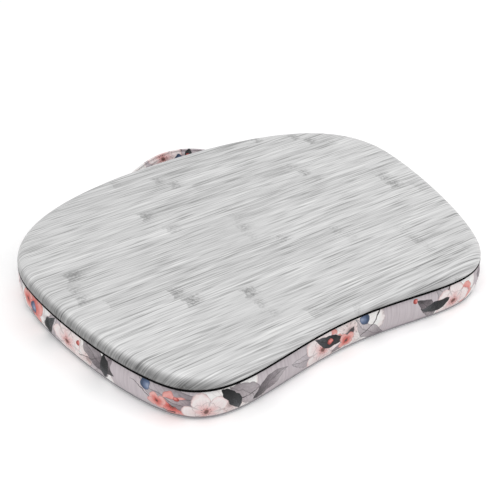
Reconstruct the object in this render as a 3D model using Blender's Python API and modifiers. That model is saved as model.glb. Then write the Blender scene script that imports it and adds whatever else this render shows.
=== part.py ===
"""Lap desk: a foil-wrapped board with a waisted front edge, on a flat fabric cushion with a strap handle.

Metres. +X runs to the user's right, +Y away from the user and +Z up. The origin is on the underside that
rests on a lap or a table, below the middle of the board.
"""

import math

import bmesh
import bpy
from mathutils import Matrix, Vector
from mathutils.geometry import interpolate_bezier

# Board, seen from above: half of the outline, from the middle of the back edge to the middle of the front.
WIDTH = 0.400
DEPTH = 0.308
# Each row is an anchor, the handle before it and the handle after it, as shares of half the width and depth.
OUTLINE_SHARES = (
    ((0.0, 1.0), (0.0, 1.0), (0.5, 1.0)),
    ((1.0, 0.27), (1.0, 0.855), (1.0, 0.017)),
    ((0.864, -0.652), (0.938, -0.402), (0.806, -0.845)),
    ((0.544, -1.0), (0.748, -1.0), (0.401, -1.0)),
    ((0.0, -0.935), (0.213, -0.935), (0.0, -0.935)),
)
OUTLINE_STEPS = (13, 8, 8, 8)
BACK_EDGE_STEPS = 80

# Board and its printed foil
BOARD_THICKNESS = 0.009
FOIL_THICKNESS = 0.0005
EDGE_RADIUS = 0.0085
EDGE_SEGMENTS = 4

# Cushion
CUSHION_HEIGHT = 0.0313
SEAM_HEIGHT = 0.004
SIDE_BULGE = 0.001
SIDE_TUCK = 0.0015
SIDE_STEPS = 4
FABRIC_THICKNESS = 0.0008
HEM_WIDTH = 0.016
SEAM_ALLOWANCE = 0.006
UNDERSIDE_RISE_WIDTH = 0.014
UNDERSIDE_RISE_STEPS = 4
UNDERSIDE_FLAT_RING = 0.012
PANEL_THICKNESS = 0.003
PANEL_INSET = 0.006

# Piping: a cord with a flat sewing lip
PIPING_DIAMETER = 0.002
PIPING_LIP_WIDTH = 0.009
PIPING_LIP_THICKNESS = 0.0005
PIPING_STEPS = 7

# Mounting tape between the panel and the board
TAPE_COUNT = 4
TAPE_LENGTH = 0.200
TAPE_WIDTH = 0.025
TAPE_TO_HEM = 0.030

# Strap handle on the back side: a loop that bows out between two sewn ends
HANDLE_HEIGHT = 0.021
HANDLE_MIDDLE_Z = 0.0165
HANDLE_HALF_SPAN = 0.0735
HANDLE_LEAN = 0.014
HANDLE_REACH = 0.0335
STRAP_THICKNESS = 0.0056
SEWN_THICKNESS = 0.0024
SEWN_SPAN = 0.022
SLEEVE_THICKNESS = 0.001
CORE_END_INSET = 0.001
LOOP_STEPS = 9
SEWN_STEPS = 3
SECTION_STEPS = 14
# The strap's cross-section is a superellipse: a higher power is squarer.
SECTION_POWER = 4.0
# How far the loop's curve runs on straight from its sewn ends and its crown, as shares of the half span.
LOOP_RUN_SHARES = {"left_root": 0.43, "left_crown": 0.44, "right_crown": 0.51, "right_root": 0.22}

# Clearances
SEAT_GAP = 0.0003
END_GAP = 0.0004
CUT_OVERRUN = 0.005
MERGE_DISTANCE = 0.00001

# Heights, from the underside up
UNDERSIDE_RIM = SEAM_HEIGHT - SEAT_GAP - FABRIC_THICKNESS
WADDING_BOTTOM = FABRIC_THICKNESS + SEAT_GAP
FOAM_BOTTOM = SEAM_HEIGHT + FABRIC_THICKNESS + SEAT_GAP
BOARD_BOTTOM = CUSHION_HEIGHT
PIPING_TOP = BOARD_BOTTOM - SEAT_GAP
HEM_TOP = PIPING_TOP - PIPING_LIP_THICKNESS - SEAT_GAP
PANEL_TOP = HEM_TOP - FABRIC_THICKNESS - SEAT_GAP
PANEL_BOTTOM = PANEL_TOP - PANEL_THICKNESS
FOAM_TOP = PANEL_BOTTOM - SEAT_GAP
TAPE_BOTTOM = PANEL_TOP + SEAT_GAP
FOIL_HEIGHT = BOARD_THICKNESS + SEAT_GAP + FOIL_THICKNESS

# The piping's cord hangs below its lip. The cover's side ends under it, in a shoulder at 45 degrees that
# passes the cord with a seat's gap.
PIPING_RADIUS = PIPING_DIAMETER / 2
PIPING_MIDDLE_Z = PIPING_TOP - PIPING_RADIUS
SIDE_TOP = PIPING_MIDDLE_Z + SIDE_TUCK - PIPING_RADIUS - math.sqrt(2) * (PIPING_RADIUS + SEAT_GAP)
FOIL_LAYER = FOIL_THICKNESS + SEAT_GAP
COVER_LAYER = FABRIC_THICKNESS + SEAT_GAP

# The strap turns about a line that lets its own section clear the side of the cushion.
HINGE_REACH = SIDE_BULGE + math.hypot(HANDLE_HEIGHT, STRAP_THICKNESS) / 2 + 2 * SEAT_GAP
HINGE_Y = DEPTH / 2 + HINGE_REACH
SEWN_OUTSET = SIDE_BULGE + SEAT_GAP + SEWN_THICKNESS / 2

# Linear colour and roughness of each finish
FINISHES = {
    "surface_foil": ((0.52, 0.53, 0.54), 0.38),
    "board_core": ((0.36, 0.24, 0.14), 0.8),
    "mounting_tape": ((0.75, 0.74, 0.70), 0.6),
    "backer_panel": ((0.20, 0.12, 0.07), 0.7),
    "top_piping": ((0.008, 0.008, 0.009), 0.6),
    "cover_boxing": ((0.60, 0.53, 0.55), 0.9),
    "foam_pad": ((0.78, 0.75, 0.62), 0.95),
    "wadding_layer": ((0.85, 0.85, 0.84), 0.98),
    "cover_underside": ((0.33, 0.33, 0.35), 0.9),
    "handle_strap": ((0.58, 0.52, 0.54), 0.9),
    "handle_core": ((0.80, 0.80, 0.78), 0.9),
    "handle_root": ((0.56, 0.50, 0.52), 0.9),
}


def half_outline(steps):
    """Points of the right half of the board's outline, back to front, with steps on each Bezier stretch."""
    scale = Vector((WIDTH / 2, DEPTH / 2, 0))
    anchors = [[Vector((x, y, 0)) * scale for x, y in row] for row in OUTLINE_SHARES]
    points = []
    for (start, _, leaving), (end, arriving, _), count in zip(anchors, anchors[1:], steps):
        points += interpolate_bezier(start, leaving, arriving, end, count + 1)[:-1]
    return points + [anchors[-1][0]]


def closed_outline():
    """The whole outline, counter-clockwise from the middle of the back edge, as plan points."""
    right = half_outline(OUTLINE_STEPS)
    left = [Vector((-point.x, point.y, 0)) for point in right[1:-1]]
    return [right[0]] + left + [right[-1]] + right[-2:0:-1]


def outset_ring(points, outset):
    """A closed ring moved outwards by outset, along the normal at each point."""
    moved = []
    for index, point in enumerate(points):
        along = points[(index + 1) % len(points)] - points[index - 1]
        moved.append(point + Vector((along.y, -along.x, 0)).normalized() * outset)
    return moved


def back_edge_point(x, outset):
    """The plan point at x on the back of the outline, moved outwards by outset."""
    edge = half_outline((BACK_EDGE_STEPS, 1, 1, 1))[: BACK_EDGE_STEPS + 1]
    moved = []
    for before, after in zip(edge, edge[1:]):
        along = after - before
        moved.append(before + Vector((-along.y, along.x, 0)).normalized() * outset)
    for before, after in zip(moved, moved[1:]):
        if abs(x) <= after.x:
            share = (abs(x) - before.x) / (after.x - before.x)
            return Vector((x, before.lerp(after, share).y, 0))
    return Vector((x, moved[-1].y, 0))


def new_object(name, data, collection):
    """Links a new object that holds data."""
    made = bpy.data.objects.new(name, data)
    collection.objects.link(made)
    return made


def finished(made, finish):
    """Gives a piece a material of its own."""
    color, roughness = FINISHES[finish]
    material = bpy.data.materials.new(made.name)
    material.use_nodes = True
    shader = material.node_tree.nodes["Principled BSDF"]
    shader.inputs["Base Color"].default_value = (*color, 1)
    shader.inputs["Roughness"].default_value = roughness
    made.data.materials.append(material)
    return made


def plate(name, ring, thickness, bottom, collection):
    """A flat plate as a mesh: a filled 2D curve, extruded by half its thickness each way."""
    curve = bpy.data.curves.new(name, "CURVE")
    curve.dimensions = "2D"
    curve.fill_mode = "BOTH"
    curve.extrude = thickness / 2
    spline = curve.splines.new("POLY")
    spline.points.add(len(ring) - 1)
    for point, place in zip(spline.points, ring):
        point.co = (place.x, place.y, 0, 1)
    spline.use_cyclic_u = True
    drawn = new_object(name + "_outline", curve, collection)
    drawn.location.z = bottom + thickness / 2
    bpy.context.view_layer.update()
    evaluated = drawn.evaluated_get(bpy.context.evaluated_depsgraph_get())
    mesh = bpy.data.meshes.new_from_object(evaluated)
    solid = new_object(name, mesh, collection)
    solid.matrix_world = drawn.matrix_world
    bpy.data.objects.remove(drawn)
    bpy.data.curves.remove(curve)
    shape = bmesh.new()
    shape.from_mesh(mesh)
    bmesh.ops.remove_doubles(shape, verts=shape.verts, dist=MERGE_DISTANCE)
    for side in (1, -1):
        bmesh.ops.dissolve_faces(shape, faces=[face for face in shape.faces if face.normal.z * side > 0.5])
    bmesh.ops.recalc_face_normals(shape, faces=shape.faces)
    shape.to_mesh(mesh)
    shape.free()
    return solid


def round_top_rim(made, radius):
    """Rounds the rim of a plate's top face."""
    shape = bmesh.new()
    shape.from_mesh(made.data)
    weight = shape.edges.layers.float.new("bevel_weight_edge")
    for edge in shape.edges:
        edge[weight] = float(all(vertex.co.z > 0 for vertex in edge.verts))
    shape.to_mesh(made.data)
    shape.free()
    bevel = made.modifiers.new("rounded_rim", "BEVEL")
    bevel.limit_method = "WEIGHT"
    bevel.width = radius
    bevel.segments = EDGE_SEGMENTS


def open_underneath(made):
    """Takes a plate's bottom face away, so that it becomes a skin."""
    shape = bmesh.new()
    shape.from_mesh(made.data)
    underneath = [face for face in shape.faces if face.normal.z < -0.5]
    bmesh.ops.delete(shape, geom=underneath, context="FACES_ONLY")
    shape.to_mesh(made.data)
    shape.free()


def thicken(made, thickness):
    """Gives an open surface a wall behind its faces."""
    wall = made.modifiers.new("wall", "SOLIDIFY")
    wall.thickness = thickness
    wall.offset = -1
    wall.use_even_offset = True


def bent_grid(place, columns, rows, closed_columns, closed_rows):
    """A grid whose point in column i and row j lies at place(i, j); a closed side meets its start."""
    shape = bmesh.new()
    bmesh.ops.create_grid(shape, x_segments=columns, y_segments=rows, size=1)
    for vertex in shape.verts:
        column = round((vertex.co.x + 1) / 2 * columns)
        row = round((vertex.co.y + 1) / 2 * rows)
        vertex.co = place(column % columns if closed_columns else column, row % rows if closed_rows else row)
    bmesh.ops.remove_doubles(shape, verts=shape.verts, dist=MERGE_DISTANCE)
    return shape


def cap(shape, edges):
    """Closes the rings that edges form, and turns all the faces outwards."""
    bmesh.ops.holes_fill(shape, edges=edges, sides=0)
    bmesh.ops.recalc_face_normals(shape, faces=shape.faces)


def object_from(shape, name, collection):
    """Writes a bmesh into a new object, with smooth sides and sharp creases."""
    mesh = bpy.data.meshes.new(name)
    shape.to_mesh(mesh)
    shape.free()
    mesh.shade_smooth()
    mesh.set_sharp_from_angle(angle=math.radians(40))
    return new_object(name, mesh, collection)


def run_round(profile, closed_profile=False):
    """Runs a cross-section of (outset, height) points round the outline."""
    outline = closed_outline()
    rings = [outset_ring(outline, outset) for outset, _ in profile]

    def place(column, row):
        return rings[row][column] + Vector((0, 0, profile[row][1]))

    rows = len(profile) if closed_profile else len(profile) - 1
    return bent_grid(place, len(outline), rows, True, closed_profile)


def side_outset(share):
    """How far the side of the cover stands out, at a share of the way from its seam to its top."""
    return (SIDE_BULGE + SIDE_TUCK) * 4 * share * (1 - share) - SIDE_TUCK


def make_board(parts):
    """The core and the foil that wraps its top and its rounded edge."""
    outline = closed_outline()
    core = plate("board_core", outset_ring(outline, -FOIL_LAYER), BOARD_THICKNESS, BOARD_BOTTOM, parts)
    round_top_rim(core, EDGE_RADIUS - FOIL_LAYER)
    finished(core, "board_core")
    foil = plate("surface_foil", outline, FOIL_HEIGHT, BOARD_BOTTOM, parts)
    open_underneath(foil)
    round_top_rim(foil, EDGE_RADIUS)
    thicken(foil, FOIL_THICKNESS)
    finished(foil, "surface_foil")


def make_tapes(parts):
    """Strips of foam tape across the panel, between it and the board, spread evenly inside the hem."""
    thickness = BOARD_BOTTOM - SEAT_GAP - TAPE_BOTTOM
    outline = half_outline(OUTLINE_STEPS)
    margin = HEM_WIDTH + TAPE_TO_HEM + TAPE_WIDTH / 2
    first = outline[-1].y + margin
    last = outline[0].y - margin
    for index in range(TAPE_COUNT):
        middle = first + (last - first) * index / (TAPE_COUNT - 1)
        low = Vector((-TAPE_LENGTH / 2, middle - TAPE_WIDTH / 2, TAPE_BOTTOM))
        high = Vector((TAPE_LENGTH / 2, middle + TAPE_WIDTH / 2, TAPE_BOTTOM + thickness))
        tape = box(f"mounting_tape_{index + 1}", low, high, parts)
        finished(tape, "mounting_tape")


def make_panel(parts):
    """The hardboard that closes the top of the cushion."""
    ring = outset_ring(closed_outline(), -PANEL_INSET)
    panel = plate("backer_panel", ring, PANEL_THICKNESS, PANEL_BOTTOM, parts)
    finished(panel, "backer_panel")


def make_piping(parts):
    """A cord under the board's edge, with a lip that lies between the board and the hem."""
    lip_angle = math.asin((PIPING_RADIUS - PIPING_LIP_THICKNESS) / PIPING_RADIUS)
    sweep = math.tau - (math.pi / 2 - lip_angle)
    profile = []
    for step in range(PIPING_STEPS + 1):
        angle = math.pi / 2 - sweep * step / PIPING_STEPS
        height = PIPING_MIDDLE_Z + PIPING_RADIUS * math.sin(angle)
        profile.append((PIPING_RADIUS * (math.cos(angle) - 1), height))
    lip_end = -PIPING_RADIUS - PIPING_LIP_WIDTH
    profile += [(lip_end, PIPING_TOP - PIPING_LIP_THICKNESS), (lip_end, PIPING_TOP)]
    shape = run_round(profile, closed_profile=True)
    bmesh.ops.recalc_face_normals(shape, faces=shape.faces)
    finished(object_from(shape, "top_piping", parts), "top_piping")


def make_boxing(parts):
    """The side of the cover: seam allowance, bulging side, and a hem turned in over the panel."""
    profile = [(-SIDE_TUCK - SEAM_ALLOWANCE, SEAM_HEIGHT)]
    for step in range(SIDE_STEPS + 1):
        share = step / SIDE_STEPS
        profile.append((side_outset(share), SEAM_HEIGHT + (SIDE_TOP - SEAM_HEIGHT) * share))
    shoulder_width = HEM_TOP - SIDE_TOP
    profile += [(-SIDE_TUCK - shoulder_width, HEM_TOP), (-HEM_WIDTH, HEM_TOP)]
    boxing = object_from(run_round(profile), "cover_boxing", parts)
    thicken(boxing, FABRIC_THICKNESS)
    finished(boxing, "cover_boxing")


def make_foam(parts):
    """The foam block, which fills the bulging side."""
    profile = []
    for step in range(SIDE_STEPS + 1):
        height = FOAM_BOTTOM + (FOAM_TOP - FOAM_BOTTOM) * step / SIDE_STEPS
        share = (height - SEAM_HEIGHT) / (SIDE_TOP - SEAM_HEIGHT)
        profile.append((side_outset(share) - COVER_LAYER, height))
    shape = run_round(profile)
    cap(shape, [edge for edge in shape.edges if edge.is_boundary])
    finished(object_from(shape, "foam_pad", parts), "foam_pad")


def make_wadding(parts):
    """The soft layer under the foam."""
    ring = outset_ring(closed_outline(), -SIDE_TUCK - UNDERSIDE_RISE_WIDTH)
    thickness = FOAM_BOTTOM - SEAT_GAP - WADDING_BOTTOM
    finished(plate("wadding_layer", ring, thickness, WADDING_BOTTOM, parts), "wadding_layer")


def make_underside(parts):
    """The fabric that rests on a lap: flat in the middle, rising to the seam at its edge."""
    flat_edge = -SIDE_TUCK - UNDERSIDE_RISE_WIDTH
    profile = [(flat_edge - UNDERSIDE_FLAT_RING, 0)]
    for step in range(UNDERSIDE_RISE_STEPS + 1):
        share = step / UNDERSIDE_RISE_STEPS
        profile.append((flat_edge + UNDERSIDE_RISE_WIDTH * share, UNDERSIDE_RIM * share * share))
    shape = run_round(profile)
    lowest = [edge for edge in shape.edges if edge.is_boundary and edge.verts[0].co.z < MERGE_DISTANCE]
    cap(shape, lowest)
    underside = object_from(shape, "cover_underside", parts)
    thicken(underside, FABRIC_THICKNESS)
    finished(underside, "cover_underside")


def handle_path():
    """Plan points of the middle of the strap, from its left sewn end to its right one."""
    sewn = []
    for step in range(SEWN_STEPS + 1):
        sewn.append(HANDLE_HALF_SPAN + SEWN_SPAN * step / SEWN_STEPS)
    left = [back_edge_point(-x, SEWN_OUTSET) for x in reversed(sewn)]
    right = [back_edge_point(x, SEWN_OUTSET) for x in sewn]
    crown = Vector((HANDLE_LEAN, DEPTH / 2 + HANDLE_REACH, 0))
    run = {name: share * HANDLE_HALF_SPAN for name, share in LOOP_RUN_SHARES.items()}
    leaving = left[-1] + (left[-1] - left[-2]).normalized() * run["left_root"]
    arriving = right[0] + (right[0] - right[1]).normalized() * run["right_root"]
    before = crown - Vector((run["left_crown"], 0, 0))
    after = crown + Vector((run["right_crown"], 0, 0))
    rising = interpolate_bezier(left[-1], leaving, before, crown, LOOP_STEPS + 1)
    falling = interpolate_bezier(crown, after, arriving, right[0], LOOP_STEPS + 1)
    return left[:-1] + rising[:-1] + falling + right[1:]


def strap_thickness(point):
    """The strap is thin where it is sewn down and reaches its full thickness at the hinge line."""
    start = DEPTH / 2 + SEWN_OUTSET
    share = min(max((point.y - start) / (HINGE_Y - start), 0), 1)
    return SEWN_THICKNESS + (STRAP_THICKNESS - SEWN_THICKNESS) * share * share * (3 - 2 * share)


def strap_body(name, layer, collection, sewn_down=False):
    """The strap along its whole path, less a layer all round, and flattened where it is sewn down."""
    path = handle_path()

    def place(column, row):
        ends = path[max(column - 1, 0)], path[min(column + 1, len(path) - 1)]
        along = (ends[1] - ends[0]).normalized()
        across = Vector((-along.y, along.x, 0))
        angle = math.tau * row / SECTION_STEPS
        wide = math.copysign(abs(math.cos(angle)) ** (2 / SECTION_POWER), math.cos(angle))
        high = math.copysign(abs(math.sin(angle)) ** (2 / SECTION_POWER), math.sin(angle))
        thickness = strap_thickness(path[column]) if sewn_down else STRAP_THICKNESS
        offset = across * wide * (thickness / 2 - layer)
        height = HANDLE_MIDDLE_Z + high * (HANDLE_HEIGHT / 2 - layer)
        return path[column] + offset + Vector((0, 0, height))

    shape = bent_grid(place, len(path) - 1, SECTION_STEPS, False, True)
    cap(shape, [edge for edge in shape.edges if edge.is_boundary])
    return object_from(shape, name, collection)


def hinge_crossings():
    """The two x at which the strap's middle crosses the hinge line."""
    crossings = []
    path = handle_path()
    for before, after in zip(path, path[1:]):
        if (before.y - HINGE_Y) * (after.y - HINGE_Y) < 0:
            share = (HINGE_Y - before.y) / (after.y - before.y)
            crossings.append(before.lerp(after, share).x)
    return crossings


def box(name, low, high, collection):
    """A box between two corners."""
    bpy.ops.mesh.primitive_cube_add(size=1)
    made = bpy.context.object
    made.name = name
    made.data.name = name
    size = high - low
    made.data.transform(Matrix.Translation((low + high) / 2) @ Matrix.Diagonal((*size, 1)))
    bpy.context.collection.objects.unlink(made)
    collection.objects.link(made)
    return made


def hidden(cutter):
    """Marks a cutter, which isn't part of the desk."""
    cutter.hide_render = True
    cutter.display_type = "WIRE"
    return cutter


def cut_with(made, cutter, operation):
    """Adds a Boolean of made with a hidden cutter."""
    boolean = made.modifiers.new("cut_" + cutter.name, "BOOLEAN")
    boolean.operation = operation
    boolean.object = cutter


def slice_between(name, low_x, high_x, cutters):
    """A cutter across the handle between two planes of constant x."""
    depth = HANDLE_REACH + STRAP_THICKNESS + CUT_OVERRUN
    low = Vector((low_x, DEPTH / 2 - depth, HANDLE_MIDDLE_Z - HANDLE_HEIGHT))
    high = Vector((high_x, DEPTH / 2 + depth, HANDLE_MIDDLE_Z + HANDLE_HEIGHT))
    return hidden(box(name, low, high, cutters))


def make_handle(parts, cutters):
    """Two sewn ends, and between them the moving loop, which is a sleeve round a padding core."""
    left_x, right_x = hinge_crossings()
    end_x = HANDLE_HALF_SPAN + SEWN_SPAN + CUT_OVERRUN
    left_zone = slice_between("left_end_slice", -end_x, left_x - END_GAP / 2, cutters)
    right_zone = slice_between("right_end_slice", right_x + END_GAP / 2, end_x, cutters)
    loop_zone = slice_between("loop_slice", left_x + END_GAP / 2, right_x - END_GAP / 2, cutters)
    core_zone = slice_between("core_slice", left_x + CORE_END_INSET, right_x - CORE_END_INSET, cutters)
    for side, zone in (("left", left_zone), ("right", right_zone)):
        root = strap_body(f"handle_root_{side}", 0, parts, sewn_down=True)
        cut_with(root, zone, "INTERSECT")
        finished(root, "handle_root")
    cavity = hidden(strap_body("sleeve_cavity", SLEEVE_THICKNESS, cutters))
    sleeve = strap_body("handle_strap", 0, parts)
    cut_with(sleeve, loop_zone, "INTERSECT")
    cut_with(sleeve, cavity, "DIFFERENCE")
    finished(sleeve, "handle_strap")
    core = strap_body("handle_core", SLEEVE_THICKNESS + SEAT_GAP, parts)
    cut_with(core, core_zone, "INTERSECT")
    finished(core, "handle_core")
    hinge = new_object("handle_hinge", None, parts)
    hinge.location = (0, HINGE_Y, HANDLE_MIDDLE_Z)
    for piece in (sleeve, core):
        piece.parent = hinge
        piece.location = -hinge.location


def main():
    """Clears the scene and builds the desk."""
    for old in list(bpy.data.objects):
        bpy.data.objects.remove(old)
    parts = bpy.data.collections.new("lap_desk")
    cutters = bpy.data.collections.new("cutters")
    bpy.context.scene.collection.children.link(parts)
    bpy.context.scene.collection.children.link(cutters)
    make_board(parts)
    make_tapes(parts)
    make_panel(parts)
    make_piping(parts)
    make_boxing(parts)
    make_foam(parts)
    make_wadding(parts)
    make_underside(parts)
    make_handle(parts, cutters)


main()
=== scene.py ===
"""Dresses the lap desk: a foil-wrapped board on a printed cushion, with black piping and a strap handle."""

import logging
import math
from bisect import bisect_right
from dataclasses import dataclass
from enum import Enum
from itertools import accumulate, pairwise
from typing import Any, Callable, ClassVar, Sequence

import bmesh
import bpy
from mathutils import Matrix, Vector
from mathutils.geometry import interpolate_bezier


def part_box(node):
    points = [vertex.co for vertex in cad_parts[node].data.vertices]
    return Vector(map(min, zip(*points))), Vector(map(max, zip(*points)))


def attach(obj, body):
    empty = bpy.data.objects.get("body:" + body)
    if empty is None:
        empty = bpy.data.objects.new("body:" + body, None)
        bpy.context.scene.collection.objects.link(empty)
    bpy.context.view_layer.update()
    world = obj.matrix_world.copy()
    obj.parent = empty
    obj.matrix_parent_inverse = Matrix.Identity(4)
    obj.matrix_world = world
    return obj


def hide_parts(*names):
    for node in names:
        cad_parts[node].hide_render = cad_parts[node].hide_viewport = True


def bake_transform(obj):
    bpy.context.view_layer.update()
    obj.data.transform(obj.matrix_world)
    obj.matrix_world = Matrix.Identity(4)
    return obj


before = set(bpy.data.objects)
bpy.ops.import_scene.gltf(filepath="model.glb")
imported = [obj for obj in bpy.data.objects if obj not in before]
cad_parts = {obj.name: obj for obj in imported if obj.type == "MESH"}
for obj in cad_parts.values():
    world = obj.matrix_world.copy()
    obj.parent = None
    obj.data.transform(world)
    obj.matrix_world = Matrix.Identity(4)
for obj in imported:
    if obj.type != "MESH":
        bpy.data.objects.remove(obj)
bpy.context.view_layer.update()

LOG = logging.getLogger("lap_desk")
MM = 0.001
DESK = "desk"
HANDLE = "handle"
CLOTH_MAP = "cloth"
FOIL_MAP = "foil"
# The foil's attribute for where its rim gets painted shade.
PAINTED_RIM_SHADE = "end_grain"
WELD = 1e-6
MILLION = 1e6
HALF = (0.5,) * 3
SMOOTH_ANGLE = math.radians(40)
UP = Vector((0, 0, 1))
XY = ("X", "Y")
XYZ = ("X", "Y", "Z")

Object = bpy.types.Object
Material = bpy.types.Material
Shape = bmesh.types.BMesh
Ring = list[Vector]
Profile = list[tuple[float, float]]
Stops = Sequence[tuple[float, str]]
Link = Any


def linear(code: str) -> tuple[float, ...]:
    """Turns a colour in six sRGB hex digits to the linear one that a shader takes, with an alpha of 1."""
    parts = [int(code[i : i + 2], 16) / 255 for i in (0, 2, 4)]
    return *(c / 12.92 if c <= 0.04045 else ((c + 0.055) / 1.055) ** 2.4 for c in parts), 1.0


def shares(count: int) -> list[float]:
    """Even shares from 0 to 1, one more than the count."""
    return [step / count for step in range(count + 1)]


class Graph:
    """The node tree of a material or a world: one method adds a node, and the others put several together."""

    def __init__(self, owner: Material | bpy.types.World) -> None:
        """Empties the tree of a material or a world.

        Args:
            owner: the material or world.
        """
        self.owner = owner
        owner.use_nodes = True
        self.tree = owner.node_tree
        self.tree.nodes.clear()

    @classmethod
    def of_material(cls, name: str) -> "Graph":
        """Starts a material of that name."""
        return cls(bpy.data.materials.new(name))

    def add(self, kind: str, *inputs: Link, out: str | Sequence[str] = "", stops: Stops = (), **named: Any) -> Any:
        """Adds a node with its settings and links.

        Args:
            kind: the node's type, without its ShaderNode prefix, or a Math node's operation.
            *inputs: sockets or values in the order of the inputs in use; None leaves one as it is.
            out: the name of the output to return, or the names of several; the first output if left out.
            stops: the places and hex colours of a ramp.
            **named: the node's own properties, and inputs by their names with _ for a space.

        Returns:
            The output socket or sockets, or the node itself where it has none.
        """
        if kind.isupper():
            kind, named["operation"] = "Math", kind
        node = self.tree.nodes.new("ShaderNode" + kind)
        for name, value in named.items():
            if name.islower():
                setattr(node, name, value)
        used = [socket for socket in node.inputs if socket.enabled]
        places = {socket.name.replace(" ", "_"): socket for socket in used}
        given = [(used[index], value) for index, value in enumerate(inputs)]
        given += [(places[name], value) for name, value in named.items() if not name.islower()]
        for socket, value in given:
            if isinstance(value, bpy.types.NodeSocket):
                self.tree.links.new(value, socket)
            elif value is not None:
                socket.default_value = value
        for index, (place, code) in enumerate(stops):
            elements = node.color_ramp.elements
            element = elements[index] if index < len(elements) else elements.new(place)
            element.position, element.color = place, linear(code)
        outputs = {socket.name: socket for socket in node.outputs if socket.enabled}
        if not outputs:
            return node
        if isinstance(out, str):
            return outputs[out] if out else next(iter(outputs.values()))
        return [outputs[name] for name in out]

    def place(self, chart: str = "") -> Link:
        """The place on a piece in mm, on one of its maps or, without a map's name, in its own axes."""
        metres = self.add("UVMap", uv_map=chart) if chart else self.add("TexCoord", out="Object")
        return self.add("VectorMath", metres, (1 / MM,) * 3, operation="MULTIPLY")

    def flecks(self, place: Link, size: Sequence[float], **noise: float) -> Link:
        """Noise in flecks or streaks, from 0 to 1; the size is how long one is along each axis, in mm."""
        drawn = self.add("VectorMath", place, [1 / length for length in size], operation="MULTIPLY")
        return self.add("TexNoise", Vector=drawn, Scale=1.0, **noise)

    def crossed(self, cloth: Link, repeat: float) -> Link:
        """The over and under of woven yarns, from -1 to 1, that comes back after so many mm of the cloth."""
        phase = self.add("VectorMath", cloth, (math.tau / repeat,) * 3, operation="MULTIPLY")
        return self.add("MULTIPLY", *self.add("SeparateXYZ", self.add("VectorMath", phase, operation="SINE"), out=XY))

    def finish(self, color: Link, height: Link, relief: float, **shader: Link) -> Material:
        """Puts a principled shader with a bump on a material.

        Args:
            color: the base colour.
            height: the bump's height, about 1 from its lowest to its highest.
            relief: what a height of 1 is in metres.
            **shader: the shader's other inputs.

        Returns:
            The material.
        """
        normal = self.add("Bump", Strength=1.0, Distance=relief, Height=height)
        self.add("OutputMaterial", Surface=self.add("BsdfPrincipled", Base_Color=color, Normal=normal, **shader))
        return self.owner


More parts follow.
